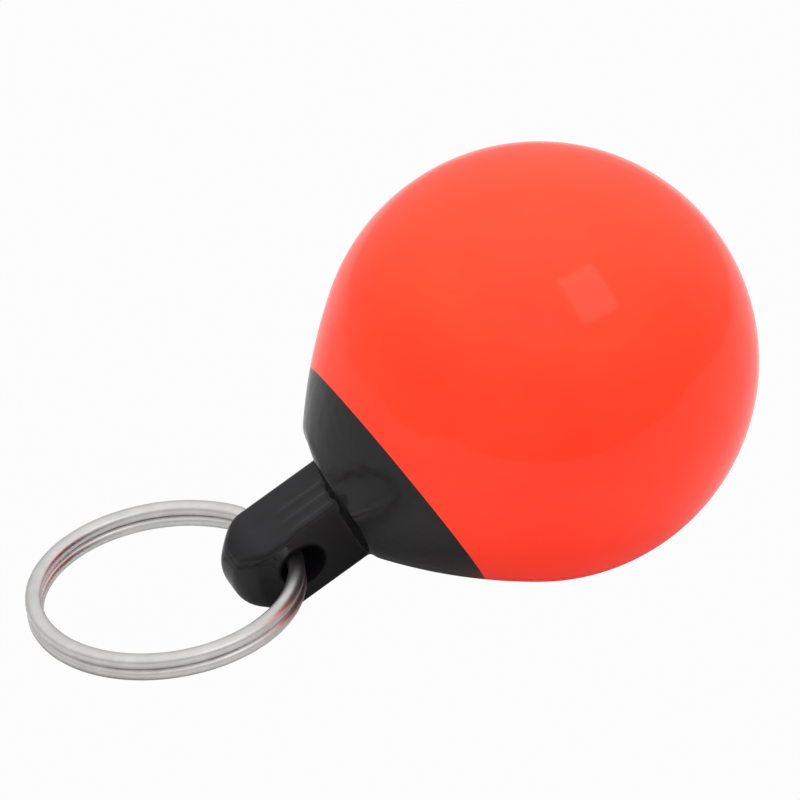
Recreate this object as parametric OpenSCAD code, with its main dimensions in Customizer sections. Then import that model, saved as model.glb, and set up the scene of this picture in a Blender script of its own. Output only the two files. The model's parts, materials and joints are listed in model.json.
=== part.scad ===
// Buoy-shaped floating key ring: a hollow vinyl ball drawn out into a neck and a
// flat lug, black-dipped at the neck, with a two-turn split ring through the lug.
// It lies on a table on its ball, its lug and the far side of its ring.
// Millimetres, +Z up. The origin is on the table, under the ball's centre.

/* [Ball] */
// Outer diameter of the ball
ball_d = 50; // [40:1:60]
// Vinyl wall thickness
wall = 2; // [1.5:0.1:2.5]

/* [Neck] */
// Angle from the axis at which the neck's curve leaves the ball
neck_start = 54.4; // [50:0.2:60]
// Distance of the shoulder from the ball's surface, along the axis
shoulder_rise = 3.4; // [3:0.1:5]
// Radius of the shoulder, where the lug stands on the neck
shoulder_r = 6.6; // [6.5:0.1:7.5]
// Thickness of the black dipped coat
coat = 0.4; // [0.3:0.05:0.6]
// How far below the shoulder the black coat ends
coat_depth = 7.9; // [7:0.1:9]
// How far the dip line leans from square
coat_lean = 3.7; // [0:0.1:6]
// The side of the float that the dip line leans to
coat_lean_side = 219; // [0:1:360]

/* [Lug] */
// Width of the lug, across the ball's axis
lug_w = 10.6; // [10:0.1:12]
// Thickness of the lug
lug_t = 8; // [7.6:0.1:9]
// Length of the lug beyond the shoulder
lug_len = 14.9; // [14:0.1:17]
// Rounding of the lug's long edges
lug_edge = 1; // [0.7:0.1:1.5]
// Rounding of the rim of the lug's round end
lug_rim = 3.2; // [2.5:0.1:3.7]
// Distance of the ring's place in the hole beyond the shoulder
hole_rise = 7.3; // [7:0.1:7.6]
// Height of the oval hole that the split ring hangs in
hole_d = 4.3; // [4.2:0.1:4.6]
// How much longer than high the oval hole is
hole_long = 1; // [0.5:0.1:1.5]
// How far the hole sits below the float's axis
hole_off = 0.5; // [0:0.1:0.6]
// Roll of the hole about the ball's axis as the float lies
lug_roll = 8; // [0:1:10]
// Further roll of the lug's faces, past the hole that the ring pulls straight
lug_twist = 8; // [0:1:10]
// How far the lug sits off the float's axis, across it and along its hole
lug_off = [-0.2, -0.25]; // [-0.5:0.05:0.5]

/* [Ribs] */
// Number of fine moulded ribs on the lug's narrow side
rib_count = 3; // [1:1:3]
// Spacing of the ribs
rib_pitch = 1.9; // [1.5:0.1:2]
// Place of the middle rib, from the middle of that side
rib_side = -1.3; // [-1.3:0.1:1.3]
// Length of the ribs
rib_len = 6; // [4:0.1:6.5]

/* [Split ring] */
// Mean diameter of the coiled wire
ring_mean_d = 29.8; // [28:0.1:32]
// Width of the wire, across the ring
wire_w = 1.9; // [1.7:0.05:2]
// Height of one turn of the rolled wire
wire_h = 1.46; // [1.3:0.02:1.5]
// Gap between the two turns
turn_gap = 0.08; // [0.06:0.01:0.12]
// Place of the crossover between the turns, from the lug's hole
crossover = 27; // [22:1:60]
// Half the angle that the crossover takes
crossover_half = 8; // [7:0.5:10]
// How far the curved wire's outermost point lies past its pivot in the hole
ring_seat = 0.28; // [0.1:0.02:0.4]
// How far the ring leans in its loose hole
ring_skew = 2; // [0:0.5:2]

/* [Hidden] */
$fn = 96;
eps = 0.01;
overlap = 0.5;                    // how far the ball reaches into the neck's base

ball_r = ball_d / 2;
shoulder = ball_r + shoulder_rise;
hole_at = shoulder + hole_rise;
lug_end = shoulder + lug_len;
coat_edge = shoulder - coat_depth;
plug_at = shoulder - 4.4;         // plane where the hollow shell meets the solid eye core
spigot_r = 9;                     // spigot of the eye core in the shell's mouth
spigot_len = 3;
rib_r = 0.5;                      // a rib is a round bead sunk in the lug's side
rib_proud = 0.2;
big = 4 * ball_d;
lug_root = shoulder - 3;          // where the lug starts, inside the neck
edge_fade = 9.5;                  // ball round the lug's root that ends its crisp edges

// The neck is an arc that is tangent to the ball and passes through the shoulder.
neck_dir = [sin(neck_start), cos(neck_start)];
shoulder_pt = [shoulder_r, shoulder];
neck_arc_r = (shoulder_pt * shoulder_pt + ball_r * ball_r - 2 * ball_r * (shoulder_pt * neck_dir))
           / (2 * (ball_r - shoulder_pt * neck_dir));
neck_centre = (ball_r - neck_arc_r) * neck_dir;

// Split ring: both turns with the gap between them
ring_r = ring_mean_d / 2;
stack_h = 2 * wire_h + turn_gap;
turn_z = (wire_h + turn_gap) / 2;
wire_flat = sqrt(wire_w * wire_w - wire_h * wire_h) / 2;

// Height of the lug's lowest point over the table when the float's axis dips by t degrees:
// it lies on the rounded rim of the lug's end
function lug_low(t) =
    let (turn = lug_roll + lug_twist, side_z = cos(turn) * cos(t), face_z = sin(turn) * cos(t))
    ball_r - (lug_end - lug_w / 2) * sin(t) + lug_off[0] * side_z + lug_off[1] * face_z
    - (lug_w / 2 - lug_rim) * sqrt(1 - face_z * face_z) - (lug_t / 2 - lug_rim) * face_z - lug_rim;
// Height of the ring's lowest point when the ring is swung up by s from the float's axis
function ring_low(s, t) =
    let (axis_z = -sin(t), side_z = cos(lug_roll) * cos(t), hole_z = sin(lug_roll) * cos(t),
         reach_z = cos(s) * axis_z + sin(s) * side_z, face_z = cos(s) * side_z - sin(s) * axis_z,
         normal_z = cos(ring_skew) * face_z + sin(ring_skew) * hole_z,
         edge = sqrt(1 - normal_z * normal_z))
    ball_r + hole_at * axis_z - hole_off * side_z + (ring_r - ring_seat) * reach_z
    - (ring_r + wire_flat) * edge - stack_h / 2 * normal_z;
function dip_angle(lo, hi, n) =
    let (mid = (lo + hi) / 2)
    n == 0 ? mid : lug_low(mid) > 0 ? dip_angle(mid, hi, n - 1) : dip_angle(lo, mid, n - 1);
function swing_angle(t, lo, hi, n) =
    let (mid = (lo + hi) / 2)
    n == 0 ? mid : ring_low(mid, t) > 0 ? swing_angle(t, lo, mid, n - 1) : swing_angle(t, mid, hi, n - 1);
dip = dip_angle(10, 60, 30);
swing = swing_angle(dip, 5, 40, 30);

// Places a shape drawn about the float's own axis (+Z from ball to lug, hole along Y)
module lie_down() {
    translate([0, 0, ball_r]) rotate([0, -90 - dip, 0]) rotate([0, 0, -lug_roll]) children();
}

// The ball up to where the neck leaves it, and the neck up to its shoulder, both solid
// and drawn in by inset on every side
module body_solid(inset) {
    join_at = (ball_r - inset) * cos(neck_start);
    rotate_extrude() intersection() {
        circle(r = ball_r - inset, $fn = 180);
        translate([0, -big]) square([big, big + join_at + overlap]);
    }
    rotate_extrude() intersection() {
        translate(neck_centre) circle(r = neck_arc_r - inset, $fn = 360);
        translate([0, join_at]) square([big, shoulder - inset - join_at]);
    }
}

// Rounded rectangle of size s and corner radius r, about its own middle
module rounded(s, r) {
    square([s[0] - 2 * r, s[1]], center = true);
    square([s[0], s[1] - 2 * r], center = true);
    for (x = [-1, 1], y = [-1, 1])
        translate([x * (s[0] / 2 - r), y * (s[1] / 2 - r)]) circle(r = r, $fn = 48);
}

// Places a shape drawn about the lug's own middle, its faces square to Y
module on_lug() {
    rotate([0, 0, -lug_twist]) translate(lug_off) children();
}

// The lug, from inside the neck to its round end, drawn in by inset. The end's full rim
// runs on along the sides, and fades into their crisp edges near the neck.
module lug_solid(inset) {
    w = lug_w - 2 * inset;
    t = lug_t - 2 * inset;
    rim = lug_rim - inset;
    mid = lug_end - lug_w / 2;
    on_lug() {
        translate([0, 0, mid]) rotate([90, 0, 0]) rotate_extrude() intersection() {
            rounded([w, t], rim);
            translate([0, -big / 2]) square(big);
        }
        translate([0, 0, lug_root]) linear_extrude(height = mid - lug_root) rounded([w, t], rim);
        intersection() {
            translate([0, 0, lug_root]) linear_extrude(height = mid - lug_root)
                rounded([w, t], lug_edge - inset / 2);
            translate([0, 0, mid - edge_fade]) sphere(r = edge_fade - inset, $fn = 180);
        }
    }
}

module ribs() {
    on_lug() for (i = [0 : rib_count - 1])
        translate([lug_w / 2 - rib_r + rib_proud, rib_side + (i - (rib_count - 1) / 2) * rib_pitch,
                   shoulder - 0.5])
            cylinder(r = rib_r, h = rib_len + 0.5, $fn = 32);
}

// Oval hole, with r for the radius of its round ends
module hole(r) {
    for (step = [0, hole_long])
        translate([-hole_off, 0, hole_at - step]) rotate([90, 0, 0]) cylinder(r = r, h = big, center = true);
    translate([-hole_off - r, -big / 2, hole_at - hole_long]) cube([2 * r, big, hole_long]);
}

// What the dip coats: the neck and the lug without their skin, and the hole before it is lined
module under_coat() {
    difference() {
        union() {
            body_solid(coat);
            lug_solid(coat);
        }
        hole(hole_d / 2 + coat);
    }
}

// Everything beyond the dip line
module beyond_dip_line() {
    translate([0, 0, coat_edge]) rotate([0, 0, coat_lean_side]) rotate([0, coat_lean, 0])
        translate([-big / 2, -big / 2, 0]) cube(big);
}

module beyond(u) {
    translate([-big / 2, -big / 2, u]) cube(big);
}

// Hollow ball, its mouth closed by the eye core; thinned where the black coat covers it
module ball_shell() {
    color([1, 0.27, 0.15]) lie_down() difference() {
        body_solid(0);
        intersection() {
            difference() {
                body_solid(-1);
                body_solid(coat);
            }
            beyond_dip_line();
        }
        beyond(plug_at);
        difference() {
            body_solid(wall);
            beyond(plug_at - spigot_len);
        }
        translate([0, 0, plug_at - spigot_len - eps]) cylinder(r = spigot_r, h = big);
    }
}

// Solid end of the float under the coat: spigot, neck tip and lug with its hole
module eye_core() {
    color([0.75, 0.2, 0.12]) lie_down() {
        translate([0, 0, plug_at - spigot_len]) cylinder(r = spigot_r, h = spigot_len + eps);
        intersection() {
            under_coat();
            beyond(plug_at);
        }
    }
}

// Black dipped skin over the neck and the lug and through its hole, with the moulded ribs
module neck_coat() {
    color([0.12, 0.12, 0.13]) lie_down() difference() {
        union() {
            intersection() {
                body_solid(0);
                beyond_dip_line();
            }
            lug_solid(0);
            ribs();
        }
        under_coat();
        hole(hole_d / 2);
    }
}

// Section of the rolled wire, round at its sides and flat above and below
module wire_section() {
    intersection() {
        circle(d = wire_w, $fn = 64);
        square([2 * wire_w, wire_h], center = true);
    }
}

// Two turns of one wire, joined by a sloping crossover; the wire's ends lie beside it
module split_ring() {
    climb = 2 * turn_z;
    run = 2 * ring_r * sin(crossover_half);
    color([0.72, 0.72, 0.72]) lie_down()
        translate([-hole_off, 0, hole_at]) rotate([0, swing, 0])
        translate([0, 0, ring_r - ring_seat]) rotate([0, 90, 0]) rotate([-ring_skew, 0, 0]) {
            for (side = [-1, 1])
                rotate([0, 0, crossover + crossover_half])
                    translate([0, 0, side * turn_z])
                    rotate_extrude(angle = 360 - 2 * crossover_half)
                    translate([ring_r, 0]) wire_section();
            rotate([0, 0, crossover]) translate([ring_r * cos(crossover_half / 2), 0, 0])
                rotate([90 - atan2(climb, run), 0, 0]) rotate([0, 180, 0])
                linear_extrude(height = norm([run, climb]) + 1, center = true) wire_section();
        }
}

ball_shell();
eye_core();
neck_coat();
split_ring();
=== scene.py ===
"""Looks of the buoy-shaped floating key ring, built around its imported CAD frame.

Metres, in the CAD's frame: origin on the table under the ball's centre, +Z up. Shapes are
worked out in millimetres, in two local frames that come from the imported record:
  float frame: origin at the ball's centre, +Z through the neck and the lug, +Y along the hole;
  ring frame:  origin at the ring's centre, +Z along its axis, +X towards the lug's hole.
"""
import json
import math

import bmesh
import bpy
import numpy as np
from mathutils import Matrix, Vector


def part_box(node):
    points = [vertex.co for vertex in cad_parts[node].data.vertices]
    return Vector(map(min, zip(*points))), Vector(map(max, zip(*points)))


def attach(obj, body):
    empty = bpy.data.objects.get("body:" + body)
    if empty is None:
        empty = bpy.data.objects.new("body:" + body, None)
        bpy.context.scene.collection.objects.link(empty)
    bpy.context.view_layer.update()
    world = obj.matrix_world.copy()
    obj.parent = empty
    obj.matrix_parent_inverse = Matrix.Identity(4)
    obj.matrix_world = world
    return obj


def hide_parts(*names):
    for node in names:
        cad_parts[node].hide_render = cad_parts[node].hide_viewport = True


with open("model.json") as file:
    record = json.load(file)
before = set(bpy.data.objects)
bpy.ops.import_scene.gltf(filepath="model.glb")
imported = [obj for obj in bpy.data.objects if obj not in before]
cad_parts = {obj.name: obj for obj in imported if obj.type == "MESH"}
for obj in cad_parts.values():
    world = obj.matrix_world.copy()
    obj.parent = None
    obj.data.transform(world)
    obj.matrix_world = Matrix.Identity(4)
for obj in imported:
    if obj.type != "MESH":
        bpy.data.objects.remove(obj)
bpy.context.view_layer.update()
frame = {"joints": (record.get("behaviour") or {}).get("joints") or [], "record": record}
MM = 0.001

# ---------------------------------------------------------------- driving sizes, mm and radians
WALL = 2.0
NECK_START = math.radians(54.4)       # angle from the axis where the neck's arc leaves the ball
SHOULDER, SHOULDER_R = 28.4, 6.6      # where the lug stands on the neck
SHOULDER_FALL = 0.22                  # how fast the shoulder falls away towards the lug's far face
SHOULDER_EDGE_R = 0.8                 # rounding of the shoulder's edge
COAT, CORE_GAP = 0.4, 0.02
COAT_EDGE = 20.5                      # the dip line, on the axis
COAT_LEAN, COAT_LEAN_SIDE = math.radians(3.7), math.radians(219)
PLUG_AT, SPIGOT_LEN, SPIGOT_R = 24.0, 3.0, 9.0
LUG_W, LUG_T, LUG_END = 10.6, 8.0, 43.1
LUG_TWIST = math.radians(8)           # the faces' roll past the hole
LUG_OFF = (-0.2, -0.25)               # the lug's offset from the axis, across it and along its hole
LUG_ROOT = SHOULDER - 3               # where the lug starts, inside the neck
LUG_FILLET = 0.6                      # fillet between neck and lug
LUG_EDGE_R, LUG_RIM_R = 0.9, 3.0      # rounding of the long edges, and of the end's rim
RIM_FADE = 4.0                        # length over which the one grows into the other
HOLE_R, HOLE_LONG, HOLE_OFF, HOLE_MOUTH_R = 2.15, 1.0, 0.5, 0.25
RIB_R, RIB_PROUD, RIB_PITCH, RIB_SIDE, RIB_LEN = 0.4, 0.1, 1.7, -1.8, 7.2
RIB_SINK, RIB_SINK_LEN = 0.45, 2.5    # a rib sinks into the lug by this, over this length
RIB_FILLET = 0.3
RING_R = 14.9
WIRE_W, WIRE_H, TURN_GAP = 1.9, 1.46, 0.08
WIRE_FLATNESS = 0.75                  # how sharply the wire's round sides turn into its flats
CROSSOVER, CROSSOVER_HALF = math.radians(27), math.radians(8)
COAT_CELL, CORE_CELL = 0.2, 0.35      # mesh size of the coat and of the core

# ---------------------------------------------------------------- local frames from the record
hinge = frame["joints"][0]
key_loop = next(m for m in frame["record"]["mounts"] if m["name"] == "key_loop")
BALL_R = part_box("ball_shell")[1][2] / 2 / MM
ball_centre = Vector((0, 0, BALL_R * MM))
hole_centre = Vector(hinge["pos_m"])


def local_frame(origin, z, y):
    """Matrix from millimetres in a local frame to metres in the row's frame."""
    z = z.normalized()
    x = y.cross(z).normalized()
    y = z.cross(x)
    turn = Matrix((x, y, z)).transposed().to_4x4()
    return Matrix.Translation(origin) @ turn @ Matrix.Scale(MM, 4)


# the ring's pivot in the hole lies HOLE_OFF beside the float's axis
hole_axis = Vector(hinge["axis"]).normalized()
to_pivot = (hole_centre - ball_centre) / MM
HOLE_AT = math.sqrt(to_pivot.length_squared - HOLE_OFF**2)
float_axis = HOLE_AT * to_pivot.normalized() + HOLE_OFF * hole_axis.cross(to_pivot.normalized())
FLOAT = local_frame(ball_centre, float_axis, hole_axis)
ring_axis = Vector(key_loop["axis"]).normalized()
to_hole = hole_centre - Vector(key_loop["pos_m"])
to_hole -= to_hole.dot(ring_axis) * ring_axis
RING = local_frame(Vector(key_loop["pos_m"]), ring_axis, ring_axis.cross(to_hole))


# ---------------------------------------------------------------- mesh helpers
def to_array(matrix):
    return np.array([list(row) for row in matrix])


def make_piece(name, points, faces, matrix, body, node, normals=None, uvs=None):
    """A smooth mesh piece from local points in mm, riding on body and standing for node."""
    m = to_array(matrix)
    world = points @ m[:3, :3].T + m[:3, 3]
    mesh = bpy.data.meshes.new(name)
    mesh.from_pydata(world.tolist(), [], [list(map(int, f)) for f in faces])
    mesh.validate()
    mesh.shade_smooth()
    if uvs is not None:
        layer = mesh.uv_layers.new(name="along_wire")
        order = np.zeros(len(mesh.loops), np.int32)
        mesh.loops.foreach_get("vertex_index", order)
        layer.data.foreach_set("uv", uvs[order].astype(np.float32).ravel())
    if normals is not None:
        turned = normals @ (m[:3, :3] / MM).T
        mesh.normals_split_custom_set([tuple(n) for n in turned])
    obj = bpy.data.objects.new(name, mesh)
    bpy.context.scene.collection.objects.link(obj)
    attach(obj, body)
    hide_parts(node)
    return obj


def grid_faces(rows, cols):
    """Quads of a grid of rows x cols points whose columns close on themselves."""
    i, j = np.meshgrid(np.arange(rows - 1), np.arange(cols), indexing="ij")
    k = (j + 1) % cols
    low, high = i * cols, (i + 1) * cols
    return np.stack([low + j, low + k, high + k, high + j], -1).reshape(-1, 4)


# ---------------------------------------------------------------- outline of ball and neck
neck_dir = np.array([math.sin(NECK_START), math.cos(NECK_START)])
shoulder_pt = np.array([SHOULDER_R, SHOULDER])
NECK_ARC_R = (shoulder_pt @ shoulder_pt + BALL_R**2 - 2 * BALL_R * (shoulder_pt @ neck_dir)) / (
    2 * (BALL_R - shoulder_pt @ neck_dir))
NECK_CENTRE = (BALL_R - NECK_ARC_R) * neck_dir
DIP_NORMAL = np.array([math.sin(COAT_LEAN) * math.cos(COAT_LEAN_SIDE),
                       math.sin(COAT_LEAN) * math.sin(COAT_LEAN_SIDE), math.cos(COAT_LEAN)])


def outline(z, inset):
    """Radius of the body at height z along its axis, drawn in by inset."""
    ball = np.sqrt(np.maximum((BALL_R - inset) ** 2 - z**2, 0))
    off_centre = z - NECK_CENTRE[1]
    neck = NECK_CENTRE[0] + np.sqrt(np.maximum((NECK_ARC_R - inset) ** 2 - off_centre**2, 0))
    return np.where(z <= (BALL_R - inset) * neck_dir[1], ball, neck)


def meridian(z_end, inset, rows):
    """Points (radius, z) from the back pole to z_end at nearly even steps, for each z_end."""
    fine = np.cos(np.linspace(math.pi, 0, 4001)) * (BALL_R - inset)
    fine = np.concatenate([fine[fine < 14], np.linspace(14, SHOULDER, 1500)])
    radius = outline(fine, inset)
    length = np.concatenate([[0], np.cumsum(np.hypot(np.diff(fine), np.diff(radius)))])
    stop = np.interp(z_end, fine, length)
    along = np.linspace(0, 1, rows)[:, None] * stop[None, :]
    z = np.interp(along, length, fine)
    return outline(z, inset), z


def dip_line(angles, inset):
    """Height at which the leaning dip line crosses the body at each angle round the axis."""
    z = np.full_like(angles, COAT_EDGE)
    for _ in range(30):
        r = outline(z, inset)
        side = r * (np.cos(angles) * DIP_NORMAL[0] + np.sin(angles) * DIP_NORMAL[1])
        z = COAT_EDGE - side / DIP_NORMAL[2]
    return z


# ---------------------------------------------------------------- ball
def ball_points(cols=360, rows=230):
    """Closed shell: outside to the dip line, step down under the coat, mouth, inside."""
    angles = np.linspace(0, 2 * math.pi, cols, endpoint=False)
    edge_z = dip_line(angles, 0)
    r, z = meridian(edge_z, 0, rows)
    # slow, slight unevenness of a moulded vinyl ball: never outward
    sway = (0.5 + 0.28 * np.sin(2 * angles + 0.10 * z + 0.7) + 0.22 * np.cos(3 * angles - 0.16 * z))
    fade = np.clip((edge_z - z) / 6, 0, 1)
    r = r - 0.05 * sway * fade * (r / BALL_R)
    parts = [(r, z)]
    under_start = dip_line(angles, COAT)
    steps = np.linspace(0, 1, 6)[:, None]
    zu = under_start[None, :] * (1 - steps) + PLUG_AT * steps
    parts.append((outline(zu, COAT), zu))
    parts.append((np.full((1, cols), SPIGOT_R), np.full((1, cols), PLUG_AT)))
    parts.append((np.full((1, cols), SPIGOT_R), np.full((1, cols), PLUG_AT - SPIGOT_LEN)))
    ri, zi = meridian(np.full(cols, PLUG_AT - SPIGOT_LEN), WALL, 60)
    parts.append((ri[::-1], zi[::-1]))
    r = np.concatenate([p[0] for p in parts])
    z = np.concatenate([p[1] for p in parts])
    return np.stack([r * np.cos(angles), r * np.sin(angles), z], -1), len(r), cols


def build_ball():
    pts, rows, cols = ball_points()
    body = pts[1:-1].reshape(-1, 3)            # the two poles are single points
    back, inner = len(body), len(body) + 1
    points = np.vstack([body, [[0, 0, -BALL_R]], [[0, 0, -(BALL_R - WALL)]]])
    faces = grid_faces(rows - 2, cols)[:, ::-1].tolist()
    last = (rows - 3) * cols
    for j in range(cols):
        k = (j + 1) % cols
        faces.append([back, k, j][::-1])
        faces.append([inner, last + j, last + k][::-1])
    obj = make_piece("ball_skin", points, faces, FLOAT, "float", "ball_shell")
    sharpen(obj.data, 35)
    return obj


def sharpen(mesh, degrees):
    """Marks edges sharp where faces meet at more than that angle."""
    bm = bmesh.new()
    bm.from_mesh(mesh)
    for e in bm.edges:
        e.smooth = len(e.link_faces) == 2 and e.calc_face_angle(0) < math.radians(degrees)
    bm.to_mesh(mesh)
    bm.free()


# ---------------------------------------------------------------- neck and lug, a distance field
def round_both(a, b, r):
    """Intersection of two distance fields with a rounded edge of radius r."""
    u, v = np.maximum(a + r, 0), np.maximum(b + r, 0)
    return np.minimum(np.maximum(a, b), -r) + np.hypot(u, v)


def round_either(a, b, r):
    """Union of two distance fields with a fillet of radius r."""
    return -round_both(-a, -b, r)


def smooth_step(x, lo, hi):
    t = np.clip((x - lo) / (hi - lo), 0, 1)
    return t * t * (3 - 2 * t)


def coat_field(p):
    """Distance to the outside of the coated neck and lug, in mm, negative inside."""
    x, y, z = p[..., 0], p[..., 1], p[..., 2]
    r = np.hypot(x, y)
    ball = np.hypot(r, z) - BALL_R
    neck = np.hypot(r - NECK_CENTRE[0], z - NECK_CENTRE[1]) - NECK_ARC_R
    on_neck = r * neck_dir[1] - z * neck_dir[0] < 0
    body = np.where(on_neck, neck, ball)
    shoulder = SHOULDER - SHOULDER_FALL * np.clip(y + LUG_T / 2, 0, LUG_T)
    body = round_both(body, z - shoulder, SHOULDER_EDGE_R)
    # the lug, in its own frame: a further roll about the axis, and slightly off it
    ax = x * math.cos(LUG_TWIST) - y * math.sin(LUG_TWIST) - LUG_OFF[0]
    ay = x * math.sin(LUG_TWIST) + y * math.cos(LUG_TWIST) - LUG_OFF[1]
    tip = LUG_END - LUG_W / 2
    flank = np.where(z > tip, np.hypot(ax, z - tip), np.abs(ax)) - LUG_W / 2
    rim = LUG_EDGE_R + (LUG_RIM_R - LUG_EDGE_R) * smooth_step(z, tip, tip + RIM_FADE)
    lug = round_both(flank, np.abs(ay) - LUG_T / 2, rim)
    lug = np.maximum(lug, LUG_ROOT - z)
    rib_end = SHOULDER + RIB_LEN
    for i in (-1, 0, 1):
        off_z = z - np.clip(z, LUG_ROOT, rib_end)
        off_y = ay - RIB_SIDE - i * RIB_PITCH
        sunk = RIB_SINK * smooth_step(z, rib_end - RIB_SINK_LEN, rib_end)
        bead = np.sqrt((ax - (LUG_W / 2 - RIB_R + RIB_PROUD - sunk)) ** 2 + off_y**2 + off_z**2)
        lug = round_either(lug, bead - RIB_R, RIB_FILLET)
    solid = round_either(body, lug, LUG_FILLET)
    off_z = z - np.clip(z, HOLE_AT - HOLE_LONG, HOLE_AT)
    bore = HOLE_R - np.hypot(x + HOLE_OFF, off_z)
    return round_both(solid, bore, HOLE_MOUTH_R)


def field_normals(field, p, step=0.01):
    g = np.stack([field(p + step * e) - field(p - step * e) for e in np.eye(3)], -1)
    return g / np.maximum(np.linalg.norm(g, axis=-1, keepdims=True), 1e-9)


def surface_nets(field, low, high, cell):
    """Quad mesh of the field's zero surface: one point per crossed cell, then drawn onto it."""
    axes = [np.arange(low[i], high[i] + cell, cell) for i in range(3)]
    shape = tuple(len(a) for a in axes)
    value = np.empty(shape, np.float32)
    for i, x in enumerate(axes[0]):
        y, z = np.meshgrid(axes[1], axes[2], indexing="ij")
        value[i] = field(np.stack([np.full_like(y, x), y, z], -1))
    inside = value < 0
    total = np.zeros(tuple(s - 1 for s in shape) + (3,), np.float32)
    count = np.zeros(tuple(s - 1 for s in shape), np.int32)
    corners = [(i, j, k) for i in (0, 1) for j in (0, 1) for k in (0, 1)]

    def corner(c, a):
        return a[c[0]: shape[0] - 1 + c[0], c[1]: shape[1] - 1 + c[1], c[2]: shape[2] - 1 + c[2]]

    for a in corners:
        for axis in range(3):
            if a[axis]:
                continue
            b = tuple(1 if i == axis else a[i] for i in range(3))
            va, vb = corner(a, value), corner(b, value)
            cross = corner(a, inside) != corner(b, inside)
            t = np.where(cross, va / np.where(cross, va - vb, 1), 0)
            for i in range(3):
                total[..., i] += np.where(cross, a[i] + (t if i == axis else 0), 0)
            count += cross
    used = count > 0
    number = -np.ones(count.shape, np.int64)
    number[used] = np.arange(used.sum())
    where = np.argwhere(used)
    points = (where + total[used] / count[used][:, None]) * cell + np.array(low)
    faces = []
    for axis in range(3):
        u, v = (axis + 1) % 3, (axis + 2) % 3
        cut = [slice(None)] * 3
        cut[axis] = slice(0, -1)
        nxt = list(cut)
        nxt[axis] = slice(1, None)
        a, b = inside[tuple(cut)], inside[tuple(nxt)]
        for out in (False, True):
            e = np.argwhere((a != b) & (a == (not out)))
            e = e[(e[:, u] > 0) & (e[:, u] < shape[u] - 1)]
            e = e[(e[:, v] > 0) & (e[:, v] < shape[v] - 1)]
            quad = []
            for du, dv in ((1, 1), (0, 1), (0, 0), (1, 0)):
                c = e.copy()
                c[:, u] -= du
                c[:, v] -= dv
                quad.append(number[c[:, 0], c[:, 1], c[:, 2]])
            quad = np.stack(quad, -1)
            faces.append(quad if not out else quad[:, ::-1])
    faces = np.concatenate(faces)
    for _ in range(4):
        points = points - field(points)[:, None] * field_normals(field, points)
    return points, faces


def build_coat():
    """The black skin: the field's surface beyond the dip line, given its thickness inwards."""
    reach, bottom, margin = 16.6, 17.0, 0.6
    points, faces = surface_nets(coat_field, (-reach, -reach, bottom),
                                 (reach, reach, LUG_END + margin), COAT_CELL)
    bm = bmesh.new()
    verts = [bm.verts.new(p) for p in points]
    for f in faces:
        bm.faces.new([verts[i] for i in f])
    bmesh.ops.bisect_plane(bm, geom=bm.verts[:] + bm.edges[:] + bm.faces[:], dist=1e-5,
                           plane_co=(0, 0, COAT_EDGE), plane_no=DIP_NORMAL, clear_inner=True)
    bm.verts.index_update()
    outer = np.array([v.co for v in bm.verts])
    outward = field_normals(coat_field, outer)
    skin = [[v.index for v in f.verts] for f in bm.faces]
    rim = [(e.link_loops[0].vert.index, e.link_loops[0].link_loop_next.vert.index)
           for e in bm.edges if len(e.link_faces) == 1]
    bm.free()
    n = len(outer)
    inner = outer - COAT * outward
    lip = sorted({i for pair in rim for i in pair})
    # the inside of the rim stays in the dip line's plane
    gap = (inner[lip] - [0, 0, COAT_EDGE]) @ DIP_NORMAL
    inner[lip] -= gap[:, None] * DIP_NORMAL
    lining = [[i + n for i in reversed(f)] for f in skin]
    all_faces = skin + lining + [[b, a, a + n, b + n] for a, b in rim]
    loops = [outward[f] for f in skin] + [-outward[list(reversed(f))] for f in skin]
    loops += [np.tile(-DIP_NORMAL, (4, 1)) for _ in rim]
    return make_piece("neck_coat_skin", np.vstack([outer, inner]), all_faces, FLOAT, "float",
                      "neck_coat", normals=np.vstack(loops))


def core_field(p):
    """Distance to the vinyl under the coat: the neck's tip and the lug, drawn in by the coat."""
    return np.maximum(coat_field(p) + COAT + CORE_GAP, PLUG_AT - p[..., 2])


def build_core():
    """Solid vinyl end of the float, wholly under the coat."""
    reach, margin = 14.6, 0.5
    points, faces = surface_nets(core_field, (-reach, -reach, PLUG_AT - margin),
                                 (reach, reach, LUG_END), CORE_CELL)
    return make_piece("eye_core_vinyl", points, faces, FLOAT, "float", "eye_core")


# ---------------------------------------------------------------- split ring
def wire_section(count=28):
    """Rolled round wire: a circle cut flat above and below, its corners eased."""
    a = np.linspace(0, 2 * math.pi, count, endpoint=False)
    x = WIRE_W / 2 * np.cos(a)
    z = WIRE_W / 2 * np.sin(a)
    flat = WIRE_H / 2
    z = flat * np.tanh(WIRE_FLATNESS * z / flat) / math.tanh(WIRE_FLATNESS * WIRE_W / 2 / flat)
    return x, z


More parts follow.
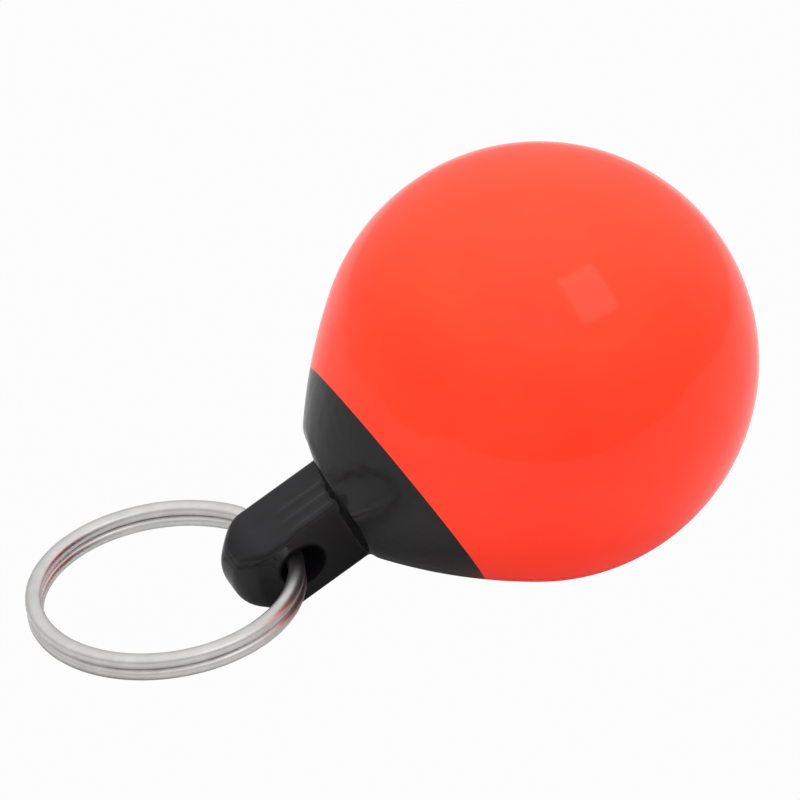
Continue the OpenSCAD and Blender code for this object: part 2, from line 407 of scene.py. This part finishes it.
def build_ring(per_turn=420):
    """Two turns of one wire in the ring's frame, with a sloping crossover and square ends."""
    level = (WIRE_H + TURN_GAP) / 2
    start = CROSSOVER + CROSSOVER_HALF
    sweep = 4 * math.pi - 2 * CROSSOVER_HALF
    s = np.linspace(0, sweep, int(per_turn * sweep / (2 * math.pi)))
    climb = smooth_step(s, 2 * math.pi - 2 * CROSSOVER_HALF, 2 * math.pi)
    angle = start + s
    z = -level + 2 * level * climb
    path = np.stack([RING_R * np.cos(angle), RING_R * np.sin(angle), z], -1)
    ahead = np.gradient(path, axis=0)
    ahead /= np.linalg.norm(ahead, axis=1, keepdims=True)
    out = np.stack([np.cos(angle), np.sin(angle), np.zeros_like(angle)], -1)
    up = np.cross(out, ahead)
    up /= np.linalg.norm(up, axis=1, keepdims=True)
    sx, sz = wire_section()
    rings = path[:, None] + sx[None, :, None] * out[:, None] + sz[None, :, None] * up[:, None]
    # eased ends: two extra rings drawn in
    ends = []
    for i, sign in ((0, -1), (-1, 1)):
        for shrink, step in ((0.97, 0.07), (0.86, 0.12)):
            ends.append((i, path[i] + (rings[i] - path[i]) * shrink + sign * step * ahead[i]))
    rings = np.concatenate([[ends[1][1], ends[0][1]], rings, [ends[2][1], ends[3][1]]])
    rows, cols = rings.shape[:2]
    points = rings.reshape(-1, 3)
    faces = grid_faces(rows, cols)[:, ::-1].tolist()
    faces.append(list(range(cols)))
    faces.append([(rows - 1) * cols + j for j in reversed(range(cols))])
    along = np.concatenate([[s[0]] * 2, s, [s[-1]] * 2]) * RING_R * 0.1
    around = np.arange(cols) / cols
    uvs = np.stack(np.broadcast_arrays(along[:, None], around[None, :]), -1).reshape(-1, 2)
    obj = make_piece("split_ring_wire", points, faces, RING, "ring", "split_ring", uvs=uvs)
    sharpen(obj.data, 50)
    return obj


# ---------------------------------------------------------------- materials
class Nodes:
    """Short calls for building a node material."""

    def __init__(self, name):
        self.material = bpy.data.materials.new(name)
        self.material.use_nodes = True
        self.tree = self.material.node_tree
        self.shader = self.tree.nodes["Principled BSDF"]

    def add(self, kind, **inputs):
        node = self.tree.nodes.new(kind)
        for key, value in inputs.items():
            self.feed(node, key.replace("_", " "), value)
        return node

    def feed(self, node, socket, value):
        target = node.inputs[socket] if not str(socket).isdigit() else node.inputs[int(socket)]
        if hasattr(value, "is_output"):
            self.tree.links.new(value, target)
        else:
            target.default_value = value

    def place(self):
        """Object coordinates in millimetres."""
        coords = self.add("ShaderNodeTexCoord").outputs["Object"]
        mapping = self.add("ShaderNodeMapping", Vector=coords)
        mapping.inputs["Scale"].default_value = [1 / MM] * 3
        return mapping.outputs["Vector"]

    def noise(self, vector, scale, detail=3.0, roughness=0.5):
        node = self.add("ShaderNodeTexNoise", Vector=vector, Scale=scale, Detail=detail,
                        Roughness=roughness)
        return node.outputs["Fac"]

    def vector_math(self, operation, vector, other=None):
        node = self.add("ShaderNodeVectorMath", **{"0": vector})
        node.operation = operation
        if other is not None:
            node.inputs[1].default_value = other
        return node.outputs

    def away_from(self, point, axis):
        """Distance in millimetres from the line through point along axis."""
        coords = self.add("ShaderNodeTexCoord").outputs["Object"]
        offset = self.vector_math("SUBTRACT", coords, point)["Vector"]
        across = self.vector_math("CROSS_PRODUCT", offset, axis)["Vector"]
        metres = self.vector_math("LENGTH", across)["Value"]
        node = self.add("ShaderNodeMath", **{"0": metres, "1": MM})
        node.operation = "DIVIDE"
        return node.outputs[0]

    def spread(self, value, low, high, start=0.0, end=1.0):
        node = self.add("ShaderNodeMapRange", Value=value)
        node.inputs["From Min"].default_value = start
        node.inputs["From Max"].default_value = end
        node.inputs["To Min"].default_value = low
        node.inputs["To Max"].default_value = high
        return node.outputs["Result"]

    def ramp(self, value, stops):
        node = self.add("ShaderNodeValToRGB", Fac=value)
        elements = node.color_ramp.elements
        while len(elements) < len(stops):
            elements.new(0.5)
        for element, (place, colour) in zip(elements, stops):
            element.position = place
            element.color = (*colour, 1)
        return node.outputs["Color"]

    def bump(self, height, distance, strength=1.0, after=None):
        node = self.add("ShaderNodeBump", Height=height)
        node.inputs["Strength"].default_value = strength
        node.inputs["Distance"].default_value = distance
        if after is not None:
            self.tree.links.new(after, node.inputs["Normal"])
        return node.outputs["Normal"]


def orange_vinyl():
    m = Nodes("orange_vinyl")
    place = m.place()
    blotch = m.noise(place, 0.09, 3)
    m.feed(m.shader, "Base Color", m.ramp(blotch, [(0.3, (0.96, 0.042, 0.0075)),
                                                   (0.7, (0.99, 0.053, 0.0105))]))
    m.feed(m.shader, "Roughness", m.spread(m.noise(place, 0.6, 4), 0.05, 0.11))
    m.shader.inputs["IOR"].default_value = 1.5
    # a little light of its own, set to reach the photo's brightness
    m.shader.inputs["Emission Color"].default_value = (1, 0.012, 0.004, 1)
    m.shader.inputs["Emission Strength"].default_value = 0.4
    wave = m.bump(m.noise(place, 0.10, 2), 0.00016)
    peel = m.bump(m.noise(place, 1.4, 2), 0.000006, after=wave)
    m.feed(m.shader, "Normal", peel)
    return m.material


def black_dip():
    m = Nodes("black_dip")
    place = m.place()
    tint = m.noise(place, 0.35, 3)
    m.feed(m.shader, "Base Color", m.ramp(tint, [(0.3, (0.004, 0.0035, 0.0045)),
                                                 (0.75, (0.0075, 0.0062, 0.0085))]))
    # painted shade in the hole: its lining is made rougher and barely glossy so that it comes out
    # dark
    bore_middle = FLOAT @ Vector((-HOLE_OFF, 0, HOLE_AT - HOLE_LONG / 2))
    from_middle = m.away_from(bore_middle, hole_axis)
    bore_shade_mask = m.spread(from_middle, 1.0, 0.0, HOLE_R + 0.55, HOLE_R + 1.05)
    gloss = m.spread(m.noise(place, 1.1, 4), 0.07, 0.17)
    m.feed(m.shader, "Roughness", m.add("ShaderNodeMath", **{"0": gloss, "1": bore_shade_mask}).outputs[0])
    m.feed(m.shader, "Specular IOR Level", m.spread(bore_shade_mask, 0.46, 0.08))
    m.shader.inputs["IOR"].default_value = 1.5
    wave = m.bump(m.noise(place, 0.22, 2), 0.00018)
    grain = m.bump(m.noise(place, 3.0, 3), 0.000008, after=wave)
    m.feed(m.shader, "Normal", grain)
    return m.material


def ring_steel():
    m = Nodes("ring_steel")
    wire = m.add("ShaderNodeUVMap")
    wire.uv_map = "along_wire"
    drawn = m.add("ShaderNodeMapping", Vector=wire.outputs["UV"])
    drawn.inputs["Scale"].default_value = (0.6, 26, 1)
    lines = m.noise(drawn.outputs["Vector"], 3.0, 5, 0.65)
    place = m.place()
    patch = m.noise(place, 0.5, 3)
    m.feed(m.shader, "Base Color", m.ramp(patch, [(0.3, (0.83, 0.82, 0.80)),
                                                  (0.7, (0.94, 0.93, 0.92))]))
    m.shader.inputs["Metallic"].default_value = 1.0
    m.feed(m.shader, "Roughness", m.spread(lines, 0.22, 0.42))
    m.feed(m.shader, "Normal", m.bump(lines, 0.00002, 0.6))
    return m.material


def core_vinyl():
    m = Nodes("core_vinyl")
    blotch = m.noise(m.place(), 0.5, 3)
    # painted shade: the ball's orange vinyl coloured a darker red, as it looks in the hole's shade
    m.feed(m.shader, "Base Color", m.ramp(blotch, [(0.3, (0.30, 0.02, 0.01)),
                                                   (0.7, (0.5, 0.04, 0.015))]))
    m.feed(m.shader, "Roughness", m.spread(blotch, 0.3, 0.5))
    return m.material


def dress(obj, material):
    obj.data.materials.clear()
    obj.data.materials.append(material)


dress(build_ball(), orange_vinyl())
dress(build_coat(), black_dip())
dress(build_core(), core_vinyl())
dress(build_ring(), ring_steel())


# ---------------------------------------------------------------- studio
CAMERA_AZIMUTH, CAMERA_DIP = math.radians(-19.7), math.radians(25.0)
CAMERA_DISTANCE = 0.6
BALL_ON_SENSOR = 0.551                # ball's diameter over the picture's width
BALL_OFF_CENTRE = (0.1731, 0.0481)    # the ball's centre, right and up, in picture widths
SENSOR = 36.0
FLOOR_SIZE, FLOOR_GLOW, FLOOR_WHITE = 14, 0.97, 0.05
PAPER_WIDTH, PAPER_BACK, PAPER_WHITE = 1.2, 0.8, 0.45
# where the grey sheet ends before the ball's centre, set by trial so that its mirrored edge
# falls on the ball about where the photo has a line
SHEET_FRONT = 0.068
DOME_RADIUS, DOME_GLOW = 6, 0.99


def build_camera():
    """Looks at the float at the picture's angle, with the ball right of the picture's middle."""
    back = Vector((math.sin(CAMERA_AZIMUTH) * math.cos(CAMERA_DIP),
                   -math.cos(CAMERA_AZIMUTH) * math.cos(CAMERA_DIP), math.sin(CAMERA_DIP)))
    right = Vector((math.cos(CAMERA_AZIMUTH), math.sin(CAMERA_AZIMUTH), 0))
    up = back.cross(right)
    radius = BALL_R * MM
    focal = BALL_ON_SENSOR / 2 * math.sqrt(CAMERA_DISTANCE**2 - radius**2) / radius
    across, above = (s / focal for s in BALL_OFF_CENTRE)
    depth = CAMERA_DISTANCE / math.sqrt(1 + across**2 + above**2)
    data = bpy.data.cameras.new("camera")
    data.sensor_width = SENSOR
    data.lens = focal * SENSOR
    data.clip_end = 20
    camera = bpy.data.objects.new("camera", data)
    place = ball_centre - across * depth * right - above * depth * up + depth * back
    turn = Matrix((right, up, back)).transposed().to_4x4()
    camera.matrix_world = Matrix.Translation(place) @ turn
    bpy.context.scene.collection.objects.link(camera)
    bpy.context.scene.camera = camera
    return back, right


def seen_by(obj, camera=True, diffuse=True, glossy=True, shadow=True):
    """Says which rays meet the object."""
    obj.visible_camera, obj.visible_diffuse = camera, diffuse
    obj.visible_glossy, obj.visible_shadow = glossy, shadow
    obj.visible_transmission = diffuse


def sheet(name, width, front, back, glow, paper):
    """A flat sheet on the table, square to the camera, with its glow and how white its paper is."""
    forward = Vector((-BACK.x, -BACK.y, 0)).normalized()
    corners = [side * width / 2 * RIGHT + along * forward
               for side, along in ((-1, -front), (1, -front), (1, back), (-1, back))]
    mesh = bpy.data.meshes.new(name)
    mesh.from_pydata([tuple(c) for c in corners], [], [(0, 1, 2, 3)])
    obj = bpy.data.objects.new(name, mesh)
    m = Nodes(name)
    m.shader.inputs["Base Color"].default_value = (paper, paper, paper, 1)
    m.shader.inputs["Roughness"].default_value = 1.0
    m.shader.inputs["Specular IOR Level"].default_value = 0.0
    m.shader.inputs["Emission Color"].default_value = (1, 1, 1, 1)
    m.shader.inputs["Emission Strength"].default_value = glow
    mesh.materials.append(m.material)
    bpy.context.scene.collection.objects.link(obj)
    return obj


def backdrop(radius, glow):
    """White dome behind everything, seen only straight from a camera."""
    bm = bmesh.new()
    bmesh.ops.create_icosphere(bm, subdivisions=3, radius=radius)
    mesh = bpy.data.meshes.new("backdrop")
    bm.to_mesh(mesh)
    bm.free()
    obj = bpy.data.objects.new("backdrop", mesh)
    m = Nodes("backdrop")
    m.shader.inputs["Base Color"].default_value = (0, 0, 0, 1)
    m.shader.inputs["Emission Color"].default_value = (1, 1, 1, 1)
    m.shader.inputs["Emission Strength"].default_value = glow
    mesh.materials.append(m.material)
    bpy.context.scene.collection.objects.link(obj)
    seen_by(obj, diffuse=False, glossy=False, shadow=False)


def soft_light(name, size, place, power, mirrored):
    """A soft rectangular studio light, aimed at the ball; mirrored says if gloss shows it."""
    data = bpy.data.lights.new(name, "AREA")
    data.shape = "RECTANGLE"
    data.size, data.size_y = size
    data.energy = power
    light = bpy.data.objects.new(name, data)
    light.location = place
    light.rotation_euler = (ball_centre - Vector(place)).to_track_quat("-Z", "Y").to_euler()
    light.visible_glossy = mirrored
    bpy.context.scene.collection.objects.link(light)


def plain_world(base, overhead):
    """Even white surroundings that grow slowly brighter from the table's level to overhead."""
    world = bpy.data.worlds.new("soft_white")
    world.use_nodes = True
    bpy.context.scene.world = world
    tree = world.node_tree
    background = tree.nodes["Background"]
    background.inputs["Color"].default_value = (1, 1, 1, 1)
    split = tree.nodes.new("ShaderNodeSeparateXYZ")
    ray = tree.nodes.new("ShaderNodeTexCoord").outputs["Generated"]
    tree.links.new(ray, split.inputs["Vector"])
    rise = tree.nodes.new("ShaderNodeMapRange")
    rise.interpolation_type = "SMOOTHSTEP"
    rise.inputs["To Min"].default_value = base
    rise.inputs["To Max"].default_value = overhead
    tree.links.new(split.outputs["Z"], rise.inputs["Value"])
    tree.links.new(rise.outputs["Result"], background.inputs["Strength"])


BACK, RIGHT = build_camera()
plain_world(base=0.42, overhead=0.80)
# the floor that the camera sees is plain white; the part is lit and mirrored by the grey sheet
seen_by(sheet("floor", FLOOR_SIZE, FLOOR_SIZE / 2, FLOOR_SIZE / 2, FLOOR_GLOW, FLOOR_WHITE),
        diffuse=False, glossy=False, shadow=False)
seen_by(sheet("paper", PAPER_WIDTH, SHEET_FRONT, PAPER_BACK, 0.0, PAPER_WHITE), camera=False)
backdrop(DOME_RADIUS, DOME_GLOW)
soft_light("top_light", (0.8, 0.8), (0.0, 0.1, 1.1), 8, mirrored=False)
soft_light("front_light", (0.8, 0.8), (-0.5, -1.2, 0.9), 5, mirrored=False)
soft_light("softbox", (0.5, 0.6), (0.3, -0.7, 1.1), 0.6, mirrored=True)
bpy.context.scene.view_settings.view_transform = "Standard"
